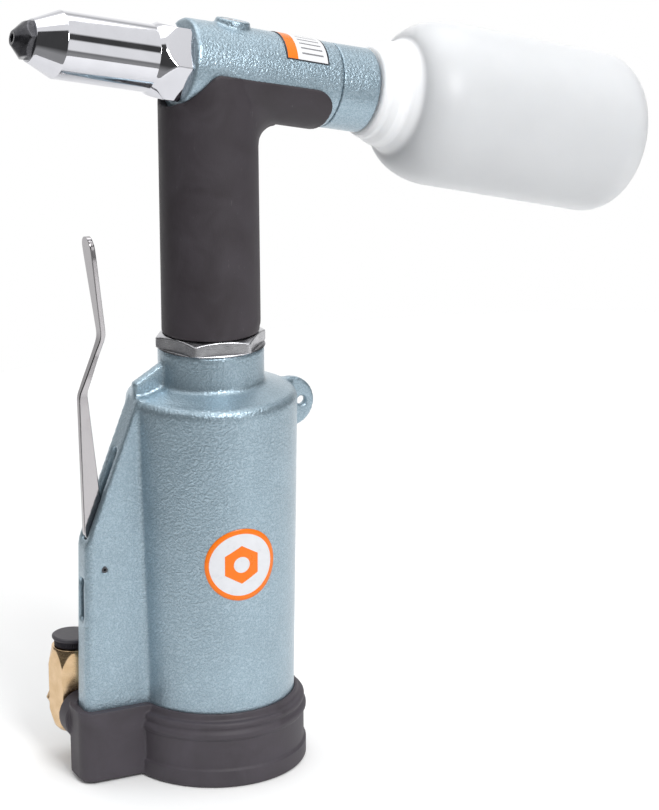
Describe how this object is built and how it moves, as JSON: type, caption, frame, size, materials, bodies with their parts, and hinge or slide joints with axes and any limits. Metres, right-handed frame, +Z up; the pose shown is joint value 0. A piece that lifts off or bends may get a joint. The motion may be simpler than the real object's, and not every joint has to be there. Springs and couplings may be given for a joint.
{
  "type": "hand riveter",
  "caption": "Hand-held air-hydraulic rivet puller: air cylinder base, upright grip, tilted head with chrome nose, finger lever and clear collector bottle.",
  "frame": {"origin": "centre of the round base's underside, on the axis of the air cylinder and handle", "axes": "+Z up along the cylinder and handle, -X towards the nose, +X towards the collector bottle, inlet on the +Y side"},
  "size_m": [0.2787, 0.0772, 0.322],
  "materials": {
    "casting_paint": "hammertone",
    "boot_rubber": "matt, moulded",
    "grip_rubber": "matt, finely grained",
    "nose_chrome": "polished",
    "lever_chrome": "bright, slightly brushed",
    "black_steel": "black oxide",
    "steel": "machined",
    "brass": "machined",
    "aluminium": "machined",
    "bottle_plastic": "milky, translucent",
    "cap_plastic": "moulded",
    "seal_rubber": "smooth",
    "copper": "soft, dull",
    "sticker_film": "printed",
    "label_film": "printed"
  },
  "bodies": {
    "tool_body": {"air_cylinder": "casting_paint", "base_boot": "boot_rubber", "lock_nut": "nose_chrome", "head_housing": "casting_paint", "grip_sleeve": "grip_rubber", "nose_sleeve": "nose_chrome", "nosepiece": "black_steel", "rod_seal": "seal_rubber", "return_spring": "steel", "rear_cap": "casting_paint", "bottle_oring": "seal_rubber", "oil_plug": "steel", "oil_plug_washer": "copper", "ram_gland": "brass", "ram_seal": "seal_rubber", "cylinder_end_cap": "aluminium", "end_cap_oring": "seal_rubber", "circlip": "steel", "trigger_pin": "steel", "valve_guide": "brass", "valve_sleeve": "brass", "valve_spring": "steel", "valve_plug": "brass", "swivel_bolt": "brass", "swivel_orings": "seal_rubber", "cylinder_sticker": "sticker_film", "head_label": "label_film"},
    "trigger": {"trigger_lever": "lever_chrome"},
    "valve": {"valve_pushrod": "steel", "valve_spool": "steel", "spool_orings": "seal_rubber"},
    "air_piston_group": {"air_piston": "aluminium", "air_piston_seal": "seal_rubber", "ram_rod": "steel", "ram_nut": "steel"},
    "pull_group": {"pull_piston": "steel", "pull_piston_seal": "seal_rubber", "jaw_coupler": "steel", "jaw_case": "steel", "mandrel_tube": "steel", "jaw_spring": "steel"},
    "jaw_1_body": {"jaw_1": "steel"},
    "jaw_2_body": {"jaw_2": "steel"},
    "jaw_3_body": {"jaw_3": "steel"},
    "pusher": {"jaw_pusher": "steel"},
    "bottle": {"collector_bottle": "bottle_plastic"},
    "inlet": {"inlet_swivel": "brass"},
    "dust_cap_body": {"dust_cap": "cap_plastic"}
  },
  "joints": [
    {"name": "trigger_pivot", "type": "hinge", "parent": "tool_body", "child": "trigger", "pos_m": [-0.0509, 0, 0.0924], "axis": [0, 1, 0], "range_deg": [0, 10], "stiffness_Nm_per_rad": 2, "springref_deg": -17.19},
    {"name": "valve_slide", "type": "slide", "parent": "tool_body", "child": "valve", "axis": [0, 0, -1], "range_m": [0, 0.0014], "deforming": ["valve_spring"]},
    {"name": "air_piston_slide", "type": "slide", "parent": "tool_body", "child": "air_piston_group", "axis": [0, 0, 1], "range_m": [0, 0.0774]},
    {"name": "pull_piston_slide", "type": "slide", "parent": "tool_body", "child": "pull_group", "axis": [0.9778, 0, -0.2096], "range_m": [0, 0.016], "stiffness_N_per_m": 1500, "springref_m": -0.01, "deforming": ["return_spring"]},
    {"name": "jaw_1_slide", "type": "slide", "parent": "pull_group", "child": "jaw_1_body", "axis": [-0.9128, 0, 0.4083], "range_m": [0, 0.0015]},
    {"name": "jaw_2_slide", "type": "slide", "parent": "pull_group", "child": "jaw_2_body", "axis": [-0.9782, -0.1801, 0.1034], "range_m": [0, 0.0015]},
    {"name": "jaw_3_slide", "type": "slide", "parent": "pull_group", "child": "jaw_3_body", "axis": [-0.9782, 0.1801, 0.1034], "range_m": [0, 0.0015]},
    {"name": "jaw_pusher_slide", "type": "slide", "parent": "pull_group", "child": "pusher", "axis": [-0.9778, 0, 0.2096], "range_m": [0, 0.0015], "deforming": ["jaw_spring"]},
    {"name": "bottle_slide", "type": "slide", "parent": "tool_body", "child": "bottle", "axis": [0.9778, 0, -0.2096], "range_m": [0, 0.015]},
    {"name": "inlet_swivel_hinge", "type": "hinge", "parent": "tool_body", "child": "inlet", "pos_m": [-0.0555, 0.0224, 0.0238], "axis": [0, 1, 0], "range_deg": [-90, 15]},
    {"name": "dust_cap_slide", "type": "slide", "parent": "inlet", "child": "dust_cap_body", "axis": [0, 0, 1], "range_m": [0, 0.01]}
  ],
  "couplings": [
    {"joint": "valve_slide", "follows": "trigger_pivot", "m_per_rad": 0.0074},
    {"joint": "pull_piston_slide", "follows": "air_piston_slide", "ratio": 0.2066},
    {"joint": "jaw_1_slide", "follows": "air_piston_slide", "ratio": 0.0193},
    {"joint": "jaw_2_slide", "follows": "air_piston_slide", "ratio": 0.0193},
    {"joint": "jaw_3_slide", "follows": "air_piston_slide", "ratio": 0.0193},
    {"joint": "jaw_pusher_slide", "follows": "air_piston_slide", "ratio": 0.01888}
  ]
}
